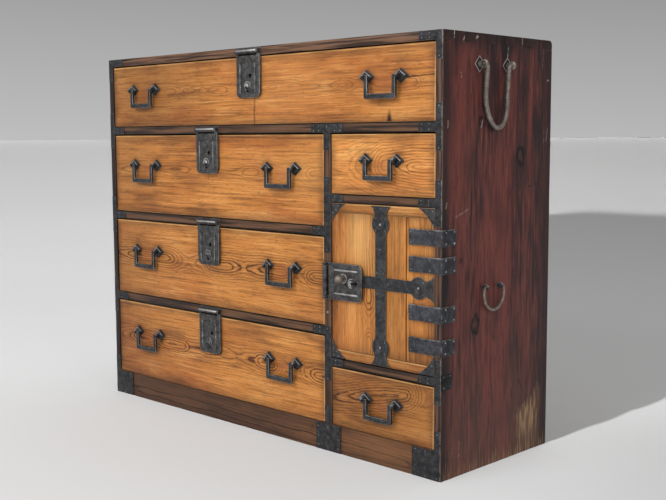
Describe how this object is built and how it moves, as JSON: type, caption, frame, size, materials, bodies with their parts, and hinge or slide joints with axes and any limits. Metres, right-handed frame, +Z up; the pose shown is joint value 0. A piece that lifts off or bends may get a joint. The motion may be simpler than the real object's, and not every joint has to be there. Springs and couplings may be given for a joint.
{
  "type": "merchant chest",
  "caption": "Low wooden merchant's chest with wide and narrow drawers, a strap-hinged door, hasp locks and forged iron bail handles.",
  "frame": {"origin": "on the floor, under the middle of the whole chest with its fittings", "axes": "+X along the front to the viewer's right, +Y from the front to the back, +Z up"},
  "size_m": [1.148, 0.4032, 0.88],
  "materials": {
    "elm_front": "oiled golden-brown elm",
    "dark_frame": "dark stained frame",
    "red_brown_lacquer": "worn lacquer",
    "pale_drawer_wood": "bare paulownia",
    "black_iron": "blackened forged",
    "worn_grey_iron": "worn forged"
  },
  "bodies": {
    "case": {"left_side": "red_brown_lacquer", "right_side": "red_brown_lacquer", "top_board": "red_brown_lacquer", "bottom_board": "pale_drawer_wood", "back_panel": "pale_drawer_wood", "base_rail": "dark_frame", "upper_shelf": "dark_frame", "left_upper_shelf": "dark_frame", "left_lower_shelf": "dark_frame", "right_upper_shelf": "dark_frame", "right_lower_shelf": "dark_frame", "partition": "dark_frame", "hinge_1_case_leaf": "black_iron", "hinge_2_case_leaf": "black_iron", "hinge_3_case_leaf": "black_iron", "hinge_4_case_leaf": "black_iron"},
    "top_drawer": {"top_drawer_front": "elm_front", "top_drawer_box": "pale_drawer_wood", "top_drawer_lock_plate": "black_iron"},
    "left_upper_drawer": {"left_upper_drawer_front": "elm_front", "left_upper_drawer_box": "pale_drawer_wood", "left_upper_drawer_lock_plate": "black_iron"},
    "left_middle_drawer": {"left_middle_drawer_front": "elm_front", "left_middle_drawer_box": "pale_drawer_wood", "left_middle_drawer_lock_plate": "black_iron"},
    "left_lower_drawer": {"left_lower_drawer_front": "elm_front", "left_lower_drawer_box": "pale_drawer_wood", "left_lower_drawer_lock_plate": "black_iron"},
    "right_upper_drawer": {"right_upper_drawer_front": "elm_front", "right_upper_drawer_box": "pale_drawer_wood"},
    "right_lower_drawer": {"right_lower_drawer_front": "elm_front", "right_lower_drawer_box": "pale_drawer_wood"},
    "top_drawer_hasp": {"top_drawer_hasp": "black_iron"},
    "top_drawer_left_bail": {"top_drawer_left_bail": "black_iron"},
    "top_drawer_right_bail": {"top_drawer_right_bail": "black_iron"},
    "left_upper_drawer_hasp": {"left_upper_drawer_hasp": "black_iron"},
    "left_upper_drawer_left_bail": {"left_upper_drawer_left_bail": "black_iron"},
    "left_upper_drawer_right_bail": {"left_upper_drawer_right_bail": "black_iron"},
    "left_middle_drawer_hasp": {"left_middle_drawer_hasp": "black_iron"},
    "left_middle_drawer_left_bail": {"left_middle_drawer_left_bail": "black_iron"},
    "left_middle_drawer_right_bail": {"left_middle_drawer_right_bail": "black_iron"},
    "left_lower_drawer_hasp": {"left_lower_drawer_hasp": "black_iron"},
    "left_lower_drawer_left_bail": {"left_lower_drawer_left_bail": "black_iron"},
    "left_lower_drawer_right_bail": {"left_lower_drawer_right_bail": "black_iron"},
    "right_upper_drawer_bail": {"right_upper_drawer_bail": "black_iron"},
    "right_lower_drawer_bail": {"right_lower_drawer_bail": "black_iron"},
    "door": {"door_panel": "elm_front", "door_top_cleat": "elm_front", "door_bottom_cleat": "elm_front", "door_strap": "black_iron", "door_lock_plate": "black_iron", "hinge_1_door_leaf": "black_iron", "hinge_2_door_leaf": "black_iron", "hinge_3_door_leaf": "black_iron", "hinge_4_door_leaf": "black_iron"},
    "door_hasp": {"door_hasp": "black_iron", "door_knob": "black_iron"},
    "right_carry_handle": {"right_carry_handle": "worn_grey_iron"},
    "left_carry_handle": {"left_carry_handle": "worn_grey_iron"},
    "right_ring": {"right_ring": "worn_grey_iron"}
  },
  "joints": [
    {"name": "top_drawer_slide", "type": "slide", "parent": "case", "child": "top_drawer", "axis": [0, -1, 0], "range_m": [0, 0.28]},
    {"name": "left_upper_drawer_slide", "type": "slide", "parent": "case", "child": "left_upper_drawer", "axis": [0, -1, 0], "range_m": [0, 0.28]},
    {"name": "left_middle_drawer_slide", "type": "slide", "parent": "case", "child": "left_middle_drawer", "axis": [0, -1, 0], "range_m": [0, 0.28]},
    {"name": "left_lower_drawer_slide", "type": "slide", "parent": "case", "child": "left_lower_drawer", "axis": [0, -1, 0], "range_m": [0, 0.28]},
    {"name": "right_upper_drawer_slide", "type": "slide", "parent": "case", "child": "right_upper_drawer", "axis": [0, -1, 0], "range_m": [0, 0.28]},
    {"name": "right_lower_drawer_slide", "type": "slide", "parent": "case", "child": "right_lower_drawer", "axis": [0, -1, 0], "range_m": [0, 0.28]},
    {"name": "top_drawer_hasp_pin", "type": "hinge", "parent": "top_drawer", "child": "top_drawer_hasp", "pos_m": [0, -0.178, 0.8705], "axis": [-1, 0, 0], "range_deg": [0, 150]},
    {"name": "top_drawer_left_bail_pins", "type": "hinge", "parent": "top_drawer", "child": "top_drawer_left_bail", "pos_m": [-0.402, -0.1809, 0.798], "axis": [-1, 0, 0], "range_deg": [0, 170]},
    {"name": "top_drawer_right_bail_pins", "type": "hinge", "parent": "top_drawer", "child": "top_drawer_right_bail", "pos_m": [0.402, -0.1809, 0.798], "axis": [-1, 0, 0], "range_deg": [0, 170]},
    {"name": "left_upper_drawer_hasp_pin", "type": "hinge", "parent": "left_upper_drawer", "child": "left_upper_drawer_hasp", "pos_m": [-0.151, -0.178, 0.697], "axis": [-1, 0, 0], "range_deg": [0, 150]},
    {"name": "left_upper_drawer_left_bail_pins", "type": "hinge", "parent": "left_upper_drawer", "child": "left_upper_drawer_left_bail", "pos_m": [-0.402, -0.1809, 0.61], "axis": [-1, 0, 0], "range_deg": [0, 170]},
    {"name": "left_upper_drawer_right_bail_pins", "type": "hinge", "parent": "left_upper_drawer", "child": "left_upper_drawer_right_bail", "pos_m": [0.1, -0.1809, 0.61], "axis": [-1, 0, 0], "range_deg": [0, 170]},
    {"name": "left_middle_drawer_hasp_pin", "type": "hinge", "parent": "left_middle_drawer", "child": "left_middle_drawer_hasp", "pos_m": [-0.151, -0.178, 0.479], "axis": [-1, 0, 0], "range_deg": [0, 150]},
    {"name": "left_middle_drawer_left_bail_pins", "type": "hinge", "parent": "left_middle_drawer", "child": "left_middle_drawer_left_bail", "pos_m": [-0.402, -0.1809, 0.392], "axis": [-1, 0, 0], "range_deg": [0, 170]},
    {"name": "left_middle_drawer_right_bail_pins", "type": "hinge", "parent": "left_middle_drawer", "child": "left_middle_drawer_right_bail", "pos_m": [0.1, -0.1809, 0.392], "axis": [-1, 0, 0], "range_deg": [0, 170]},
    {"name": "left_lower_drawer_hasp_pin", "type": "hinge", "parent": "left_lower_drawer", "child": "left_lower_drawer_hasp", "pos_m": [-0.151, -0.178, 0.265], "axis": [-1, 0, 0], "range_deg": [0, 150]},
    {"name": "left_lower_drawer_left_bail_pins", "type": "hinge", "parent": "left_lower_drawer", "child": "left_lower_drawer_left_bail", "pos_m": [-0.402, -0.1809, 0.178], "axis": [-1, 0, 0], "range_deg": [0, 170]},
    {"name": "left_lower_drawer_right_bail_pins", "type": "hinge", "parent": "left_lower_drawer", "child": "left_lower_drawer_right_bail", "pos_m": [0.1, -0.1809, 0.178], "axis": [-1, 0, 0], "range_deg": [0, 170]},
    {"name": "right_upper_drawer_bail_pins", "type": "hinge", "parent": "right_upper_drawer", "child": "right_upper_drawer_bail", "pos_m": [0.395, -0.1809, 0.631], "axis": [-1, 0, 0], "range_deg": [0, 170]},
    {"name": "right_lower_drawer_bail_pins", "type": "hinge", "parent": "right_lower_drawer", "child": "right_lower_drawer_bail", "pos_m": [0.395, -0.1809, 0.1345], "axis": [-1, 0, 0], "range_deg": [0, 170]},
    {"name": "door_hinge", "type": "hinge", "parent": "case", "child": "door", "pos_m": [0.55547, -0.17387, 0.2095], "axis": [0, 0, 1], "range_deg": [0, 180]},
    {"name": "door_hasp_pin", "type": "hinge", "parent": "door", "child": "door_hasp", "pos_m": [0.244, -0.179, 0.37475], "axis": [0, 0, -1], "range_deg": [0, 90]},
    {"name": "right_carry_handle_pins", "type": "hinge", "parent": "case", "child": "right_carry_handle", "pos_m": [0.5655, -0.0099, 0.82], "axis": [0, -1, 0], "range_deg": [0, 170]},
    {"name": "left_carry_handle_pins", "type": "hinge", "parent": "case", "child": "left_carry_handle", "pos_m": [-0.5655, -0.0099, 0.82], "axis": [0, 1, 0], "range_deg": [0, 170]},
    {"name": "right_ring_pins", "type": "hinge", "parent": "case", "child": "right_ring", "pos_m": [0.5615, -0.0114, 0.375], "axis": [0, -1, 0], "range_deg": [0, 170]}
  ]
}
